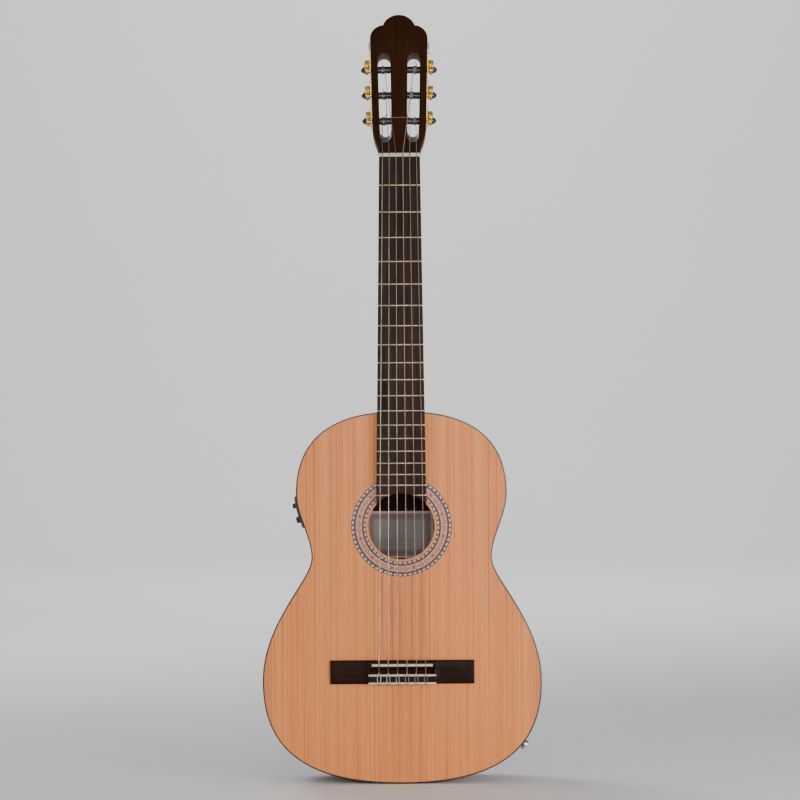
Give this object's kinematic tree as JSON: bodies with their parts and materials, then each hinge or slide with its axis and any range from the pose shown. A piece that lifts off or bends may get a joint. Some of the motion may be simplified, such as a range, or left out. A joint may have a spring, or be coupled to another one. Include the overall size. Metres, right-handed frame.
{
  "type": "classical guitar",
  "caption": "Full-size nylon-string classical guitar with a slotted geared headstock, cedar top, round mosaic rosette, side preamp and end-pin jack.",
  "frame": {"origin": "on the centre line, on the fingerboard's surface, at the nut's edge, where a wall hanger cradles the neck", "axes": "+Z along the strings towards the headstock's tip, -Y out of the soundboard, +Y out of the back, -X the bass side"},
  "size_m": [0.3578, 0.1134, 0.9906],
  "materials": {
    "cedar_top": "satin",
    "rosette_mosaic": "satin",
    "mahogany_back": "gloss",
    "mahogany_sides": "gloss",
    "mahogany_neck": "satin",
    "black_binding": "gloss",
    "brace_wood": "matte",
    "head_rosewood": "satin",
    "board_rosewood": "satin",
    "bridge_rosewood": "satin",
    "bone": "satin",
    "gold_metal": "polished",
    "roller_plastic": "satin",
    "button_black": "gloss",
    "grey_panel": "satin",
    "knob_black": "satin",
    "jack_chrome": "polished",
    "nylon": "clear",
    "silver_wound": "wound"
  },
  "bodies": {
    "guitar": {"soundboard": "cedar_top", "rosette": "rosette_mosaic", "back": "mahogany_back", "side_bass": "mahogany_sides", "side_treble": "mahogany_sides", "top_binding": "black_binding", "back_binding": "black_binding", "top_lining": "brace_wood", "back_lining": "brace_wood", "soundboard_bracing": "brace_wood", "back_bracing": "brace_wood", "tail_block": "mahogany_neck", "neck": "mahogany_neck", "heel_cap": "black_binding", "headstock": "mahogany_neck", "head_veneer": "head_rosewood", "fingerboard": "board_rosewood", "nut": "bone", "bridge": "bridge_rosewood", "saddle": "bone", "tie_block_strip_front": "bone", "tie_block_strip_rear": "bone", "tuner_plate_bass": "gold_metal", "tuner_plate_treble": "gold_metal", "string_1": "nylon", "string_2": "nylon", "string_3": "nylon", "string_4": "silver_wound", "string_5": "silver_wound", "string_6": "silver_wound", "preamp_panel": "grey_panel", "output_jack": "jack_chrome"},
    "tuning_key_1": {"tuner_worm_1": "gold_metal", "tuner_button_1": "button_black"},
    "string_roller_1": {"tuner_roller_1": "roller_plastic", "tuner_gear_1": "gold_metal"},
    "tuning_key_2": {"tuner_worm_2": "gold_metal", "tuner_button_2": "button_black"},
    "string_roller_2": {"tuner_roller_2": "roller_plastic", "tuner_gear_2": "gold_metal"},
    "tuning_key_3": {"tuner_worm_3": "gold_metal", "tuner_button_3": "button_black"},
    "string_roller_3": {"tuner_roller_3": "roller_plastic", "tuner_gear_3": "gold_metal"},
    "tuning_key_4": {"tuner_worm_4": "gold_metal", "tuner_button_4": "button_black"},
    "string_roller_4": {"tuner_roller_4": "roller_plastic", "tuner_gear_4": "gold_metal"},
    "tuning_key_5": {"tuner_worm_5": "gold_metal", "tuner_button_5": "button_black"},
    "string_roller_5": {"tuner_roller_5": "roller_plastic", "tuner_gear_5": "gold_metal"},
    "tuning_key_6": {"tuner_worm_6": "gold_metal", "tuner_button_6": "button_black"},
    "string_roller_6": {"tuner_roller_6": "roller_plastic", "tuner_gear_6": "gold_metal"},
    "volume_knob": {"preamp_knob_volume": "knob_black"},
    "bass_knob": {"preamp_knob_bass": "knob_black"},
    "treble_knob": {"preamp_knob_treble": "knob_black"},
    "push_button": {"preamp_push_button": "knob_black"}
  },
  "joints": [
    {"name": "key_1_turn", "type": "hinge", "parent": "guitar", "child": "tuning_key_1", "pos_m": [0.04021, 0.02663, 0.05516], "axis": [0, 0.9703, -0.2419], "continuous": true},
    {"name": "roller_1_turn", "type": "hinge", "parent": "guitar", "child": "string_roller_1", "pos_m": [0.03483, 0.02465, 0.04722], "axis": [0.9997, -0.0054, -0.0218], "continuous": true},
    {"name": "key_2_turn", "type": "hinge", "parent": "guitar", "child": "tuning_key_2", "pos_m": [0.041, 0.03509, 0.08911], "axis": [0, 0.9703, -0.2419], "continuous": true},
    {"name": "roller_2_turn", "type": "hinge", "parent": "guitar", "child": "string_roller_2", "pos_m": [0.03562, 0.03311, 0.08117], "axis": [0.9997, -0.0054, -0.0218], "continuous": true},
    {"name": "key_3_turn", "type": "hinge", "parent": "guitar", "child": "tuning_key_3", "pos_m": [0.04179, 0.04356, 0.12306], "axis": [0, 0.9703, -0.2419], "continuous": true},
    {"name": "roller_3_turn", "type": "hinge", "parent": "guitar", "child": "string_roller_3", "pos_m": [0.0364, 0.04158, 0.11513], "axis": [0.9997, -0.0054, -0.0218], "continuous": true},
    {"name": "key_4_turn", "type": "hinge", "parent": "guitar", "child": "tuning_key_4", "pos_m": [-0.04179, 0.04356, 0.12306], "axis": [0, 0.9703, -0.2419], "continuous": true},
    {"name": "roller_4_turn", "type": "hinge", "parent": "guitar", "child": "string_roller_4", "pos_m": [-0.0364, 0.04158, 0.11513], "axis": [-0.9997, -0.0054, -0.0218], "continuous": true},
    {"name": "key_5_turn", "type": "hinge", "parent": "guitar", "child": "tuning_key_5", "pos_m": [-0.041, 0.03509, 0.08911], "axis": [0, 0.9703, -0.2419], "continuous": true},
    {"name": "roller_5_turn", "type": "hinge", "parent": "guitar", "child": "string_roller_5", "pos_m": [-0.03562, 0.03311, 0.08117], "axis": [-0.9997, -0.0054, -0.0218], "continuous": true},
    {"name": "key_6_turn", "type": "hinge", "parent": "guitar", "child": "tuning_key_6", "pos_m": [-0.04021, 0.02663, 0.05516], "axis": [0, 0.9703, -0.2419], "continuous": true},
    {"name": "roller_6_turn", "type": "hinge", "parent": "guitar", "child": "string_roller_6", "pos_m": [-0.03483, 0.02465, 0.04722], "axis": [-0.9997, -0.0054, -0.0218], "continuous": true},
    {"name": "volume_knob_turn", "type": "hinge", "parent": "guitar", "child": "volume_knob", "pos_m": [-0.13626, 0.045, -0.44733], "axis": [-0.9841, 0, -0.1778], "range_deg": [-140, 140]},
    {"name": "bass_knob_turn", "type": "hinge", "parent": "guitar", "child": "bass_knob", "pos_m": [-0.13121, 0.037, -0.46482], "axis": [-0.9514, 0, -0.3081], "range_deg": [-140, 140]},
    {"name": "treble_knob_turn", "type": "hinge", "parent": "guitar", "child": "treble_knob", "pos_m": [-0.13121, 0.066, -0.46482], "axis": [-0.9514, 0, -0.3081], "range_deg": [-140, 140]},
    {"name": "push_button_press", "type": "slide", "parent": "guitar", "child": "push_button", "axis": [0.9841, 0, 0.1778], "range_m": [0, 0.0012], "stiffness_N_per_m": 200}
  ],
  "couplings": [
    {"joint": "roller_1_turn", "follows": "key_1_turn", "ratio": -0.071429},
    {"joint": "roller_2_turn", "follows": "key_2_turn", "ratio": -0.071429},
    {"joint": "roller_3_turn", "follows": "key_3_turn", "ratio": -0.071429},
    {"joint": "roller_4_turn", "follows": "key_4_turn", "ratio": -0.071429},
    {"joint": "roller_5_turn", "follows": "key_5_turn", "ratio": -0.071429},
    {"joint": "roller_6_turn", "follows": "key_6_turn", "ratio": -0.071429}
  ]
}
